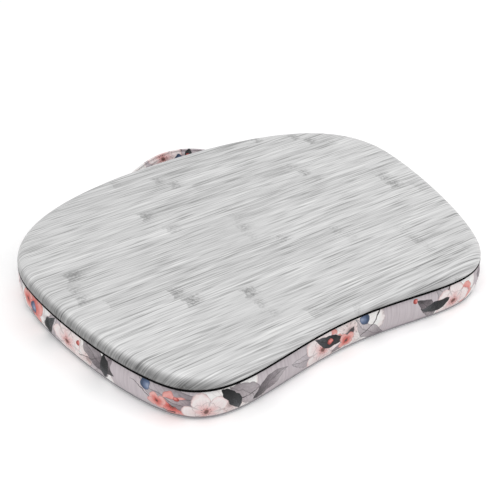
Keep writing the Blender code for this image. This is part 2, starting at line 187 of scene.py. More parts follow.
@dataclass(frozen=True)
class BambooFoil:
    """Melamine foil with a grey bamboo print, satin lacquered and wrapped over the board's rounded edge."""

    strip_width: float = 16.5
    strip_start: float = 0.35
    run_length: float = 165.0
    group: float = 3.0
    knuckle: float = 10.0
    roughness: float = 0.38
    # How dark the painted shade on the left part of the rim gets, as a share of the colour.
    painted_shade_level: float = 0.33
    greys: tuple[str, ...] = ("8A8A8A", "AEAEAE", "CCCCCC", "DDDDDD", "EDEDEC")

    def material(self) -> Material:
        """Streaked strips along X, each a run of stem that ends in a dark mottled knuckle, as in pressed bamboo, with
        painted shade on the left part of the rim.

        Returns:
            The material.
        """
        g = Graph.of_material("printed_melamine_foil_bamboo")
        place = g.place(FOIL_MAP)
        x, y = g.add("SeparateXYZ", place, out=XY)
        row = g.add("MULTIPLY_ADD", y, 1 / self.strip_width, self.strip_start)
        strip = g.add("FLOOR", row)
        bundle = g.add("MULTIPLY_ADD", strip, 1 / self.group, 20.37)
        shared = g.add("TexWhiteNoise", g.add("FLOOR", bundle), noise_dimensions="1D")
        own = g.add("TexWhiteNoise", g.add("ADD", strip, 40.7), noise_dimensions="1D")
        # Strips that were laid side by side from one stem have their knuckles nearly in line.
        slip = g.add("MULTIPLY", own, g.add("MapRange", shared, 0.3, 0.8, 12.0, 420.0))
        far = g.add("ADD", g.add("MULTIPLY_ADD", shared, 2300.0, x), slip)
        slow = g.add("VectorMath", place, (0.011, 0.04, 0.0), operation="MULTIPLY")
        bend = g.add("TexNoise", Vector=slow, Scale=1.0)
        swayed = g.add("MULTIPLY_ADD", g.add("SUBTRACT", bend, 0.5), 1.5, y)
        spot = g.add("CombineXYZ", far, swayed, g.add("MULTIPLY", strip, 11.3))
        # Fibre bundles are 0.2 to 0.4 mm wide on the real print; here they are 1.1 mm and more, so that they show.
        fine = g.flecks(spot, (52.0, 1.1, 1.0), Detail=3.0, Roughness=0.6)
        broad = g.flecks(spot, (240.0, 6.0, 1.0), Detail=0.0, Roughness=0.6)
        dash = g.flecks(spot, (32.0, 1.1, 1.0), Detail=0.0, Roughness=0.6)
        value = g.add("MULTIPLY_ADD", broad, 0.12, g.add("MULTIPLY_ADD", fine, 1.65, -0.37))
        dark = g.add("MapRange", dash, 0.62, 0.76, 0.0, -0.4)
        light = g.add("MapRange", dash, 0.38, 0.26, 0.0, 0.24)
        value = g.add("ADD", value, g.add("ADD", dark, light))
        value = g.add("ADD", value, self.knuckles(g, far, row, strip, place))
        color = g.add("ValToRGB", value, stops=[*zip(shares(len(self.greys) - 1), self.greys)])
        # Painted shade: the colour is darkened on the part of the rim that faces left and towards the front, starting
        # halfway down the bend, with the streaks still showing through.
        bent = g.add("Attribute", out="Fac", attribute_name=PAINTED_RIM_SHADE)
        grain = g.add("MULTIPLY_ADD", value, 0.2, self.painted_shade_level - 0.1)
        ends = g.add("MapRange", bent, 0.42, 0.94, 1.0, grain, interpolation_type="SMOOTHSTEP")
        color = g.add("VectorMath", color, ends, operation="SCALE")
        gloss = g.add("MapRange", fine, 0.3, 0.7, self.roughness + 0.06, self.roughness - 0.04)
        return g.finish(color, value, 0.04 * MM, Roughness=gloss, IOR=1.5)

    def knuckles(self, g: Graph, far: Link, row: Link, strip: Link, place: Link) -> Link:
        """The runs of stem: each has a tone of its own and starts with a bowed, mottled knuckle.

        Args:
            g: the material's graph.
            far: the place along the strip, in mm.
            row: the place across the strips, in strips.
            strip: the strip's number.
            place: the place in mm.

        Returns:
            How much lighter the place is for its run, less how much darker for a knuckle.
        """
        ragged = g.add("TexNoise", Vector=place, Scale=0.28, Detail=2.0)
        across = g.add("SUBTRACT", g.add("SUBTRACT", row, strip), 0.5)
        bow = g.add("MULTIPLY_ADD", g.add("MULTIPLY", across, across), 9.0, far)
        bow = g.add("MULTIPLY_ADD", g.add("SUBTRACT", ragged, 0.5), 9.0, bow)
        run = g.add("MULTIPLY", bow, 1 / self.run_length)
        cell = g.add("FLOOR", run)
        picks = g.add("TexWhiteNoise", g.add("CombineXYZ", cell, strip, 0.0), out="Color", noise_dimensions="2D")
        pick, strength, breadth = g.add("SeparateXYZ", picks, out=XYZ)
        tone = g.add("MapRange", pick, 0.0, 1.0, -0.09, 0.09)
        past = g.add("MULTIPLY", g.add("FRACT", run), self.run_length)
        wide = g.add("MapRange", breadth, 0.0, 1.0, 0.7 * self.knuckle, 1.4 * self.knuckle)
        along = g.add("DIVIDE", past, wide)
        start, stop = g.add("MapRange", along, 0.0, 0.3), g.add("MapRange", along, 1.3, 0.5)
        side = g.add("MapRange", g.add("ABSOLUTE", across), 0.28, 0.5, 1.0, 0.0)
        spots = g.add("TexNoise", Vector=place, Scale=0.4, Detail=2.0, Roughness=0.6)
        dabs = g.add("MapRange", spots, 0.38, 0.62, 0.25, 1.0)
        lip = g.add("ABSOLUTE", g.add("SUBTRACT", along, 0.08))
        lip = g.add("MapRange", lip, 0.0, 0.16, 0.3, 0.0)
        mark = g.add("MULTIPLY_ADD", g.add("MULTIPLY", start, stop), dabs, lip)
        shown = g.add("MULTIPLY", g.add("MapRange", strength, 0.1, 0.95, 0.08, 0.6), side)
        return g.add("SUBTRACT", tone, g.add("MULTIPLY", mark, shown))


class Motif(Enum):
    """What a layer of the print draws."""

    LEAF = "leaf"
    BLOSSOM = "blossom"
    BUD = "bud"
    TWIG = "twig"


@dataclass(frozen=True)
class Spray:
    """A layer of the print: one motif that comes back along the cloth, each time turned and sized anew. In mm."""

    motif: Motif
    spacing: float
    shift: float
    seed: float
    size: float
    spread: float
    colors: str
    ink: str = "332E33"
    line: float = 0.06
    turn: float = 6.3
    petals: float = 5.0
    cover: float = 1.0
    eye: float = 1.0


@dataclass(frozen=True)
class Drawing:
    """One layer's motif, drawn at a place in the motif's own axes with the water colour's flecks in it."""

    g: Graph
    local: Link
    spray: Spray
    wash: Link

    def leaf(self) -> tuple[Link, Link]:
        """A bent almond leaf, one half darker than the other, with a rib, veins and an inked edge.

        Returns:
            The motif's mask and its colour.
        """
        g, local, spray, wash = self.g, self.local, self.spray, self.wash
        x, y = g.add("SeparateXYZ", local, out=XY)
        square = g.add("MULTIPLY", x, x)
        bent = g.add("MULTIPLY_ADD", square, 0.22, y)
        off = g.add("ABSOLUTE", bent)
        taper = g.add("MULTIPLY_ADD", x, -0.10, 0.36)
        width = g.add("MULTIPLY", g.add("SUBTRACT", 1.0, square), taper)
        inside = g.add("SUBTRACT", width, off)
        mask = g.add("MapRange", inside, 0.0, 0.025)
        base = g.add("MULTIPLY_ADD", x, 0.5, 0.22)
        base = g.add("MULTIPLY_ADD", wash, 0.6, base)
        first, second, third = spray.colors.split()
        paint = g.add("ValToRGB", base, stops=((0.1, first), (0.5, second), (0.95, third)))
        shade = g.add("MapRange", bent, -0.02, 0.02, 0.0, 0.28)
        paint = g.add("Mix", shade, paint, linear(first), data_type="RGBA")
        slant = g.add("MULTIPLY_ADD", off, -1.5, x)
        veins = g.add("SINE", g.add("MULTIPLY", slant, 30.0))
        veins = g.add("MapRange", veins, 0.82, 1.0, 0.0, 0.3)
        rib = g.add("MapRange", off, 0.008, 0.024, 0.6, 0.0)
        edge = g.add("MapRange", inside, 0.01, spray.line, 1.0, 0.0)
        edge = g.add("MULTIPLY", edge, g.add("MapRange", wash, 0.36, 0.5, 0.25, 1.0))
        inked = g.add("MAXIMUM", g.add("MAXIMUM", veins, rib), edge)
        return mask, g.add("Mix", inked, paint, linear(spray.ink), data_type="RGBA")

    def blossom(self) -> tuple[Link, Link]:
        """An open blossom: an outer and an inner ring of petals, veined, round a dotted eye.

        Returns:
            The motif's mask and its colour.
        """
        g, local, spray, wash = self.g, self.local, self.spray, self.wash
        x, y = g.add("SeparateXYZ", local, out=XY)
        angle = g.add("ARCTAN2", y, x)
        radius = g.add("VectorMath", local, operation="LENGTH")
        half = g.add("MULTIPLY", angle, spray.petals / 2)
        outer = g.add("ABSOLUTE", g.add("COSINE", half))
        inner = g.add("ABSOLUTE", g.add("SINE", half))
        reach = g.add("MULTIPLY_ADD", g.add("POWER", outer, 0.55), 0.4, 0.6)
        share = g.add("DIVIDE", radius, reach)
        mask = g.add("MapRange", share, 1.0, 0.97)
        flecked = g.add("MULTIPLY_ADD", g.add("SUBTRACT", wash, 0.5), 0.35, share)
        heart, flush, pale, light, rim = spray.colors.split()
        stops = ((0.06, heart), (0.26, flush), (0.5, pale), (0.82, light), (1.0, rim))
        paint = g.add("ValToRGB", flecked, stops=stops)
        seam = g.add("MULTIPLY", g.add("MapRange", outer, 0.3, 0.0), g.add("MapRange", share, 0.3, 0.55))
        seam = g.add("MULTIPLY", seam, 0.45)
        veins = g.add("SINE", g.add("MULTIPLY", angle, spray.petals * 7))
        veins = g.add("MULTIPLY", g.add("MapRange", veins, 0.7, 1.0, 0.0, 0.3), g.add("MapRange", share, 0.85, 0.35))
        ring = g.add("MULTIPLY_ADD", g.add("POWER", inner, 0.55), 0.2, 0.36)
        fold = g.add("ABSOLUTE", g.add("SUBTRACT", radius, ring))
        fold = g.add("MapRange", fold, 0.0, 0.035, 0.4, 0.0)
        edge = g.add("MULTIPLY", g.add("MapRange", share, 0.93, 1.0), g.add("MapRange", wash, 0.4, 0.55, 0.0, 0.8))
        dots = g.add("SINE", g.add("MULTIPLY", angle, 11.0))
        ringed = g.add("ABSOLUTE", g.add("SUBTRACT", radius, 0.2))
        ringed = g.add("MapRange", ringed, 0.0, 0.045, 1.0, 0.0)
        dots = g.add("MULTIPLY", g.add("MapRange", dots, 0.2, 0.7), ringed)
        marks = g.add("MAXIMUM", g.add("MAXIMUM", seam, veins), g.add("MAXIMUM", fold, edge))
        paint = g.add("Mix", marks, paint, linear(spray.ink), data_type="RGBA")
        eye = g.add("MAXIMUM", g.add("MapRange", radius, 0.14, 0.07), dots)
        eye = g.add("MULTIPLY", eye, spray.eye)
        return mask, g.add("Mix", eye, paint, linear("4A362C"), data_type="RGBA")

    def bud(self) -> tuple[Link, Link]:
        """A round bud or berry, lit on one side.

        Returns:
            The motif's mask and its colour.
        """
        g, local, spray, wash = self.g, self.local, self.spray, self.wash
        radius = g.add("VectorMath", local, operation="LENGTH")
        mask = g.add("MapRange", radius, 1.0, 0.9)
        beside = g.add("VectorMath", local, (0.35, 0.3, 0.0), operation="SUBTRACT")
        lit = g.add("VectorMath", beside, operation="LENGTH")
        lit = g.add("MULTIPLY_ADD", g.add("SUBTRACT", wash, 0.5), 0.5, lit)
        light, body, deep = spray.colors.split()
        paint = g.add("ValToRGB", lit, stops=((0.12, light), (0.55, body), (0.96, deep)))
        edge = g.add("MapRange", radius, 0.82, 0.95, 0.0, 0.8)
        return mask, g.add("Mix", edge, paint, linear(spray.ink), data_type="RGBA")

    def twig(self) -> tuple[Link, Link]:
        """A curved twig that thins towards its tip.

        Returns:
            The motif's mask and its colour.
        """
        g, local, spray, wash = self.g, self.local, self.spray, self.wash
        x, y = g.add("SeparateXYZ", local, out=XY)
        curve = g.add("SINE", g.add("MULTIPLY", x, 2.6))
        off = g.add("ABSOLUTE", g.add("MULTIPLY_ADD", curve, 0.16, y))
        width = g.add("MapRange", x, -1.0, 1.0, spray.line, spray.line * 0.25)
        mask = g.add("MapRange", g.add("SUBTRACT", width, off), 0.0, 0.015)
        ends = g.add("MapRange", g.add("ABSOLUTE", x), 1.0, 0.97)
        body, light = spray.colors.split()
        return g.add("MULTIPLY", mask, ends), g.add("Mix", wash, linear(body), linear(light), data_type="RGBA")


@dataclass(frozen=True)
class PrintedWeave:
    """Plain-woven polyester with a transfer print of blossoms, leaves, twigs and buds on mauve grey."""

    middle: float = 14.0
    wander: float = 0.34
    ground: str = "D2C9CD"
    slub: str = "C7BDC2"
    sprays: tuple[Spray, ...] = (
        Spray(Motif.BLOSSOM, 118, 0.35, 17, 37, 18, "EBD3D2 F7E9E7 FDF9F7 FFFEFD F9EDEC", "8F7C80", eye=0.45),
        Spray(Motif.LEAF, 67, 0.10, 3, 25, 14, "857B81 B9AFB4 D9D2D6", "2F282D", 0.05, cover=0.85),
        Spray(Motif.BLOSSOM, 149, 0.71, 71, 14, 12, "6B3A33 CF5850 EC8781 F4B4AE E99890", "A04A44"),
        Spray(Motif.LEAF, 83, 0.20, 53, 21, 12, "2E292D 8E8489 C9C1C5", "151216", 0.05, cover=0.95),
        Spray(Motif.TWIG, 71, 0.62, 29, 25, 12, "241F22 332D31", line=0.045),
        Spray(Motif.BLOSSOM, 127, 0.87, 41, 23, 14, "D98F8B F4CDCB FBE9E8 FEF6F5 F6DAD9", "7E6266", eye=0.8),
        Spray(Motif.LEAF, 97, 0.55, 67, 15, 12, "0B0C0E 1B1D20 5C5D61", "050506", 0.05),
        Spray(Motif.BLOSSOM, 173, 0.12, 83, 9, 12, "4E3A2E D9655D EC928B F4BFB9 E99790", "A5544C", petals=4),
        Spray(Motif.BUD, 113, 0.45, 97, 2.6, 20, "E89A94 D8706A AA4641", "8A3F3A"),
        Spray(Motif.BUD, 187, 0.15, 101, 5.0, 18, "9AA6BF 66789A 44546F", "35425A"),
    )

    def material(self) -> Material:
        """Layers the motifs over the woven ground.

        Returns:
            The material.
        """
        g = Graph.of_material("transfer_printed_polyester_plain_weave")
        cloth = g.place(CLOTH_MAP)
        sway = g.add("TexNoise", Vector=cloth, Scale=0.12, Detail=2.0, out="Color")
        sway = g.add("VectorMath", sway, HALF, operation="SUBTRACT")
        drawn = g.add("VectorMath", sway, (5.0, 5.0, 0.0), cloth, operation="MULTIPLY_ADD")
        along, up = g.add("SeparateXYZ", drawn, out=XY)
        # Brushed water colour gathers in flecks of 2 to 8 mm.
        wash = g.add("TexNoise", Vector=cloth, Scale=0.26, Detail=4.0, Roughness=0.65)
        # Yarns are 0.3 mm apart on the real cloth; the slubs and the weave are drawn 1.2 and 1.1 mm apart, which
        # is as fine as the picture can show.
        slubs = g.flecks(cloth, (1.2, 60.0, 1.0), Detail=1.0)
        dyed = g.add("MapRange", slubs, 0.42, 0.7)
        color = g.add("Mix", dyed, linear(self.ground), linear(self.slub), data_type="RGBA")
        for spray in self.sprays:
            local = self.scatter(g, along, up, spray)
            mask, paint = getattr(Drawing(g, local, spray, wash), spray.motif.value)()
            cover = g.add("MULTIPLY", mask, spray.cover)
            color = g.add("Mix", cover, color, paint, data_type="RGBA")
        tone = g.add("MapRange", slubs, 0.3, 0.7, 1.01, 0.98)
        color = g.add("VectorMath", color, tone, operation="SCALE")
        weave = g.crossed(cloth, 1.1)
        return g.finish(color, weave, 0.12 * MM, Roughness=0.86, IOR=1.45, Sheen_Weight=0.12, Sheen_Roughness=0.5)

    def scatter(self, g: Graph, along: Link, up: Link, spray: Spray) -> Link:
        """Gives each spacing of the cloth one motif, with a place, turn and size of its own.

        Args:
            g: the material's graph.
            along: the place along the cloth, in mm.
            up: the place across it, in mm.
            spray: the layer.

        Returns:
            The place in the motif's own axes, in units of its size.
        """
        run = g.add("MULTIPLY_ADD", along, 1 / spray.spacing, spray.shift)
        cell = g.add("ADD", g.add("FLOOR", run), spray.seed)
        picks = g.add("TexWhiteNoise", cell, out="Color", noise_dimensions="1D")
        picks = g.add("VectorMath", picks, HALF, operation="SUBTRACT")
        side, rise, turn = g.add("SeparateXYZ", picks, out=XYZ)
        aside = g.add("SUBTRACT", g.add("FRACT", run), 0.5)
        aside = g.add("MULTIPLY_ADD", side, -self.wander, aside)
        aside = g.add("MULTIPLY", aside, spray.spacing)
        above = g.add("MULTIPLY_ADD", rise, -spray.spread, g.add("SUBTRACT", up, self.middle))
        place, spin = g.add("CombineXYZ", aside, above, 0.0), g.add("MULTIPLY", turn, spray.turn)
        turned = g.add("VectorRotate", place, None, spin, rotation_type="Z_AXIS")
        grown = g.add("MapRange", g.add("ADD", side, rise), -0.6, 0.6, 1.25 / spray.size, 0.85 / spray.size)
        return g.add("VectorMath", turned, grown, operation="SCALE")


@dataclass(frozen=True)
class Yarn:
    """A woven finish in one colour: yarns over and under each other, on the piece's own map or in its plan."""

    name: str
    color: str
    shade: str
    pitch: float
    turn: float = 0.0
    relief: float = 0.1
    roughness: float = 0.85
    chart: str = ""
    sheen: float = 0.1
    shine: float = 0.5

    def material(self) -> Material:
        """Yarns with a painted highlight on the crown and painted shade in the dip, and uneven dye.

        Returns:
            The material.
        """
        g = Graph.of_material(self.name)
        cloth = g.place(self.chart)
        turned = g.add("VectorRotate", cloth, None, self.turn, rotation_type="Z_AXIS")
        height = g.crossed(turned, self.pitch)
        uneven = g.add("TexNoise", Vector=cloth, Scale=0.3, Detail=4.0)
        # Painted highlight and shade: the yarns' height lightens the crowns and darkens the dips in the colour.
        lit = g.add("MULTIPLY_ADD", uneven, 0.9, g.add("MULTIPLY", height, 0.22))
        color = g.add("ValToRGB", lit, stops=((0.2, self.shade), (0.7, self.color)))
        return g.finish(
            color, height, self.relief * MM, Roughness=self.roughness,
            Sheen_Weight=self.sheen, IOR=1.45, Specular_IOR_Level=self.shine,
        )


@dataclass(frozen=True)
class Grained:
    """A finish of two colours mixed by noise in mm, for what is pressed, foamed, felted or drawn."""

    name: str
    color: str
    shade: str
    grain: tuple[float, float, float]
    relief: float
    roughness: float
    metal: float = 0.0
    pores: float = 0.0

    def material(self) -> Material:
        """Flecks of the grain's size, and pores where the material has them, sunk in the bump and darkened in the
        colour as painted shade.

        Returns:
            The material.
        """
        g = Graph.of_material(self.name)
        place = g.place()
        flecks = g.flecks(place, self.grain, Detail=4.0, Roughness=0.65)
        if self.pores:
            # Painted shade: the pores are darker in the colour as well as lower in the bump.
            cells = g.add("TexVoronoi", Vector=place, Scale=1 / self.pores)
            pore_dip_and_shade = g.add("MapRange", cells, 0.1, 0.55)
            flecks = g.add("MULTIPLY", flecks, g.add("MULTIPLY_ADD", pore_dip_and_shade, 0.45, 0.55))
        color = g.add("ValToRGB", flecks, stops=((0.3, self.shade), (0.62, self.color)))
        return g.finish(color, flecks, self.relief * MM, Roughness=self.roughness, Metallic=self.metal)


# Medium-density fibreboard: sawn and sanded, so it shows short brown fibres without a direction.
FIBREBOARD = Grained("sanded_fibreboard", "C7A983", "A88862", (1.4, 1.4, 0.5), 0.05, 0.8)
# Hardboard: wet-pressed wood fibre, dark brown with a hard, faintly mottled face.
HARDBOARD = Grained("wet_pressed_hardboard", "8A6647", "65472F", (3.0, 3.0, 1.0), 0.03, 0.6)
# Acrylic foam tape: closed cells under a smooth white skin.
FOAM_TAPE = Grained("acrylic_foam_tape", "EFEDE6", "D8D5CB", (2.0, 2.0, 0.6), 0.05, 0.65)
# Cut polyurethane foam: cream, with open pores of about 1 mm.
CUT_FOAM = Grained("cut_polyurethane_foam", "F0EAD2", "CFC5A0", (5.0, 5.0, 5.0), 0.4, 0.95, pores=1.1)
# Carded polyester wadding: white, felted, with long soft fibres.
WADDING = Grained("carded_polyester_wadding", "F6F6F4", "D9D9D6", (9.0, 1.2, 1.2), 0.5, 1.0)
# Galvanised staple wire: bright, drawn along its length.
STAPLE_WIRE = Grained("galvanised_staple_wire", "D3D5D8", "8E9196", (2.0, 0.2, 0.2), 0.01, 0.35, metal=1.0)
# Cotton twill bias tape over a cord: black, with diagonal ribs drawn at 1 mm so that they show.
PIPING_TWILL = Yarn("black_twill_bias_tape", "0D0D0E", "030303", 1.0, math.pi / 4, 0.1, 0.8, CLOTH_MAP, 0.0, 0.08)
# Plain-woven polyester in mid grey, at 1.2 mm so that the weave shows.
UNDERSIDE_WEAVE = Yarn("grey_polyester_plain_weave", "BDBABE", "A19EA3", 1.2, 0.0, 0.1, 0.9)
# Polypropylene webbing: coarse white yarns, 1.6 mm apart.
WEBBING = Yarn("white_polypropylene_webbing", "F2F1EE", "CFCDC8", 1.6, 0.0, 0.3, 0.7)
# Spun polyester sewing thread in pale mauve grey, a little glossy.
THREAD = Yarn("spun_polyester_thread", "DAD2D6", "B4ABB0", 0.5, 0.6, 0.03, 0.6)


def lengths(points: Sequence[Sequence[float]]) -> list[float]:
    """How far along a line of points each one is."""
    return [0.0, *accumulate(math.dist(*pair) for pair in pairwise(points))]


def locate(reaches: Sequence[float], distance: float) -> tuple[int, float]:
    """The stretch of a line that a distance falls on, as its first point's number, and the share of it before."""
    index = min(max(bisect_right(reaches, distance) - 1, 0), len(reaches) - 2)
    return index, (distance - reaches[index]) / (reaches[index + 1] - reaches[index])


def arc(middle: Sequence[float], radius: float, start: float, end: float, steps: int) -> Profile:
    """The points of an arc in a profile, between two angles that are counted from outwards to upwards."""
    turns = [start + (end - start) * share for share in shares(steps)]
    return [(middle[0] + radius * math.cos(turn), middle[1] + radius * math.sin(turn)) for turn in turns]


class Outline:
    """The board's outline seen from above, walked counter-clockwise from the middle of the back edge."""

    # Each row is an anchor, the handle before it and the handle after it, as shares of half the width and depth.
    SHARES = (
        ((0.0, 1.0), (0.0, 1.0), (0.5, 1.0)),
        ((1.0, 0.27), (1.0, 0.855), (1.0, 0.017)),
        ((0.864, -0.652), (0.938, -0.402), (0.806, -0.845)),
        ((0.544, -1.0), (0.748, -1.0), (0.401, -1.0)),
        ((0.0, -0.935), (0.213, -0.935), (0.0, -0.935)),
    )
    STEPS = 240
    HALVINGS = 40

    def __init__(self, half_width: float, half_depth: float) -> None:
        """Draws the outline as a fine closed line.

        Args:
            half_width: half of the board's width.
            half_depth: half of its depth.
        """
        anchors = [[Vector((x * half_width, y * half_depth, 0)) for x, y in row] for row in self.SHARES]
        right: Ring = []
        for (start, _, leaving), (end, arriving, _) in pairwise(anchors):
            right += interpolate_bezier(start, leaving, arriving, end, self.STEPS + 1)[:-1]
        right.append(anchors[-1][0])
        self.points = [Vector((-point.x, point.y, 0)) for point in right] + right[-2::-1]
        count = len(self.points) - 1
        runs = [self.points[index % count + 1] - self.points[(index - 1) % count] for index in range(count + 1)]
        self.outward = [Vector((run.y, -run.x, 0)).normalized() for run in runs]
        self.reach = lengths(self.points)
        self.length = self.reach[-1]
        self.half_depth = half_depth

    def at(self, distance: float, outset: float = 0.0, height: float = 0.0) -> Vector:
        """A point beside the outline.

        Args:
            distance: how far along the outline it is.
            outset: how far outside the outline it is.
            height: its height.

        Returns:
            The point.
        """
        index, share = locate(self.reach, distance)
        outward = self.outward[index].lerp(self.outward[index + 1], share)
        return self.points[index].lerp(self.points[index + 1], share) + outward * outset + UP * height

    def marks(self, count: int) -> list[float]:
        """How far along the outline evenly spaced points are, with the first one again at the end."""
        return [self.length * share for share in shares(count)]

    def ring(self, count: int, outset: float, height: float) -> Ring:
        """Evenly spaced points all round, at one outset and height."""
        return [self.at(mark, outset, height) for mark in self.marks(count)[:-1]]

    def run(self, profile: Profile, columns: int, capped: bool = False) -> "Loft":
        """Runs a profile all round, with a face inside its first row where that is to be capped."""
        return Loft([self.ring(columns, *place) for place in profile], capped)

    def back_at(self, x: float, outset: float) -> Vector:
        """The point at x beside the back edge.

        Args:
            x: where it is across the board.
            outset: how far outside the outline it is.

        Returns:
            The point, at height zero.
        """
        near, far = 0.0, self.length / 4
        for _ in range(self.HALVINGS):
            middle = (near + far) / 2
            near, far = (middle, far) if -self.at(middle, outset).x < abs(x) else (near, middle)
        return Vector((x, self.at(near, outset).y, 0))


class Loft:
    """A skin that grows ring by ring: a circle is moved to the first ring, and its open edge is extruded on."""

    def __init__(self, rings: Sequence[Ring], capped: bool = False) -> None:
        """Grows the skin.

        Args:
            rings: the points of each ring, as many in one as in the next.
            capped: whether a face closes the first ring.
        """
        self.shape = bmesh.new()
        made = bmesh.ops.create_circle(self.shape, segments=len(rings[0]), radius=1.0, cap_ends=capped)
        self.rows = [list(made["verts"])]
        self.place(rings[0])
        for ring in rings[1:]:
            self.grow(ring)

    def place(self, ring: Ring) -> None:
        """Moves the newest row's vertices to a ring's points."""
        for vertex, point in zip(self.rows[-1], ring):
            vertex.co = point

    def edges(self, row: int) -> list[bmesh.types.BMEdge]:
        """The edges along a row."""
        loop = self.rows[row]
        return [self.shape.edges.get(pair) for pair in zip(loop, loop[1:] + loop[:1])]

    def grow(self, ring: Ring) -> None:
        """Extrudes the open edge to a new ring.

        Args:
            ring: the new ring's points.
        """
        grown = bmesh.ops.extrude_edge_only(self.shape, edges=self.edges(-1))["geom"]
        fresh = {item for item in grown if isinstance(item, bmesh.types.BMVert)}
        ends = [[edge.other_vert(vertex) for edge in vertex.link_edges] for vertex in self.rows[-1]]
        self.rows.append([next(end for end in row if end in fresh) for row in ends])
        self.place(ring)

    def unwrap(self, across: Sequence[float], along: Sequence[float], turned: bool = False) -> None:
        """Lays the skin out flat, cut between its last and its first column.

        Args:
            across: the place of each column, and of the first one again at the end.
            along: the place of each row.
            turned: whether rows run along the map's first axis.
        """
        layer = self.shape.loops.layers.uv.new(CLOTH_MAP)
        seats = {vertex: (row, column) for row, ring in enumerate(self.rows) for column, vertex in enumerate(ring)}
        last = len(self.rows[0]) - 1
        for face in self.shape.faces:
            corners = [seats[loop.vert] for loop in face.loops]
            wraps = any(column == last for _, column in corners)
            for loop, (row, column) in zip(face.loops, corners):
                place = across[last + 1 if wraps and column == 0 else column], along[row]
                loop[layer].uv = place[::-1] if turned else place

    def close_ends(self) -> "Loft":
        """Puts a face on each open end and returns the loft."""
        bmesh.ops.holes_fill(self.shape, edges=[edge for edge in self.shape.edges if edge.is_boundary], sides=0)
        return self

    def weld(self) -> "Loft":
        """Joins a last ring that lies on the first one, and returns the loft."""
        bmesh.ops.remove_doubles(self.shape, verts=self.shape.verts, dist=WELD)
        return self

    def turned_out(self) -> Shape:
        """Turns the faces to agree with each other, and outwards where the skin is closed; returns the shape."""
        bmesh.ops.recalc_face_normals(self.shape, faces=self.shape.faces)
        return self.shape

    def turned_from(self, height: float) -> Shape:
        """Turns an open skin's faces away from the middle of the part.

        Args:
            height: the height of that middle.

        Returns:
            The shape.
        """
        self.shape.normal_update()
        middle, faces = UP * height, self.shape.faces
        if sum(face.calc_area() * face.normal.dot(face.calc_center_median() - middle) for face in faces) < 0:
            bmesh.ops.reverse_faces(self.shape, faces=faces)
        return self.shape


def linked(name: str, data: Any) -> Object:
    """Puts an object in the scene.

    Args:
        name: its name.
        data: its mesh, lamp or camera.

    Returns:
        The object.
    """
    made = bpy.data.objects.new(name, data)
    bpy.context.scene.collection.objects.link(made)
    return made


def rank(part: bmesh.types.BMEdge | bmesh.types.BMFace) -> float:
    """Sorts edges or faces by their first vertex and then by their last, for shapes of less than a million."""
    corners = [vertex.index for vertex in part.verts]
    return min(corners) + max(corners) / MILLION


def meshed(name: str, shape: Shape, finish: Material) -> Object:
    """Makes an object of a shape.

    Args:
        name: its name.
        shape: its shape, which is freed.
        finish: its material.

    Returns:
        The object.
    """
    mesh = bpy.data.meshes.new(name)
    shape.normal_update()
    # An extrusion's edges and faces come in another order in each run, from which cloth would fill out otherwise.
    shape.verts.index_update()
    shape.edges.sort(key=rank)
    shape.faces.sort(key=rank)
    shape.to_mesh(mesh)
    shape.free()
    mesh.materials.append(finish)
    return linked(name, mesh)


def piece(name: str, shape: Shape, finish: Material, slot: str, body: str | None, *nodes: str) -> Object:
    """Makes an object of a shape, hangs it on its body where it has one, and hides the solids it stands for.

    Args:
        name: the piece's name.
        shape: its shape, which is freed.
        finish: its material.
        slot: not used.
        body: the body it rides on, or None where it rides on none.
        *nodes: the solids it stands for.

    Returns:
        The object.
    """
    made = meshed(name, shape, finish)
    made.data.shade_smooth()
    made.data.set_sharp_from_angle(angle=SMOOTH_ANGLE)
    if body:
        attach(made, body)
    if nodes:
        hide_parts(*nodes)
    LOG.info("%s: %d faces", name, len(made.data.polygons))
    return made


def laid(middle: Vector, run: Vector, size: Sequence[float]) -> Matrix:
    """Takes a unit shape to where a small fastener of a length, width and height lies and runs."""
    turn = run.to_track_quat("X", "Z").to_matrix().to_4x4()
    return Matrix.Translation(middle) @ turn @ Matrix.Diagonal((*size, 1))


def walled(made: Object, thickness: float) -> None:
    """Gives a skin a wall behind its faces.

    Args:
        made: the skin's object.
        thickness: how thick the wall is.
    """
    wall = made.modifiers.new("wall", "SOLIDIFY")
    wall.thickness = thickness
    wall.offset = -1
    wall.use_even_offset = True


@dataclass(frozen=True)
class Filling:
    """How cloth is filled out: it is held at its seams, pushed outwards, and moves no further than a cap."""

    pressure: float = 6.0
    slack: float = 0.02
    frames: int = 20
    outward: float = 0.9 * MM
    inward: float = 0.35 * MM

    def apply(self, made: Object, held: Sequence[int], give: Callable[[Vector], float]) -> None:
        """Simulates the cloth and keeps the result in the mesh.

        Args:
            made: the piece, whose modifiers come later.
            held: the vertices at its seams.
            give: the share of the cap that a point may use.
        """
        mesh = made.data
        rest = [vertex.co.copy() for vertex in mesh.vertices]
        normals = [vertex.normal.copy() for vertex in mesh.vertices]
        made.vertex_groups.new(name="sewn").add(held, 1.0, "REPLACE")
        cloth = made.modifiers.new("filling", "CLOTH")
        sewn = cloth.settings
        sewn.quality = 6
        sewn.use_pressure = True
        sewn.uniform_pressure_force = self.pressure
        sewn.vertex_group_mass = "sewn"
        sewn.shrink_min = -self.slack
        sewn.effector_weights.gravity = 0
        cloth.point_cache.frame_start = 1
        cloth.point_cache.frame_end = self.frames
        scene = bpy.context.scene
        for number in range(1, self.frames + 1):
            scene.frame_set(number)
        filled = made.evaluated_get(bpy.context.evaluated_depsgraph_get()).data
        push = [(moved.co - place).dot(normal) for moved, place, normal in zip(filled.vertices, rest, normals)]
        made.modifiers.remove(cloth)
        made.vertex_groups.clear()
        scene.frame_set(1)
        LOG.info("%s filled out by %.2f to %.2f mm", made.name, min(push) / MM, max(push) / MM)
        for vertex, place, normal, out in zip(mesh.vertices, rest, normals, push):
            limit = self.outward * give(place) if out > 0 else self.inward
            vertex.co = place + normal * limit * math.tanh(out / limit)
        mesh.update()


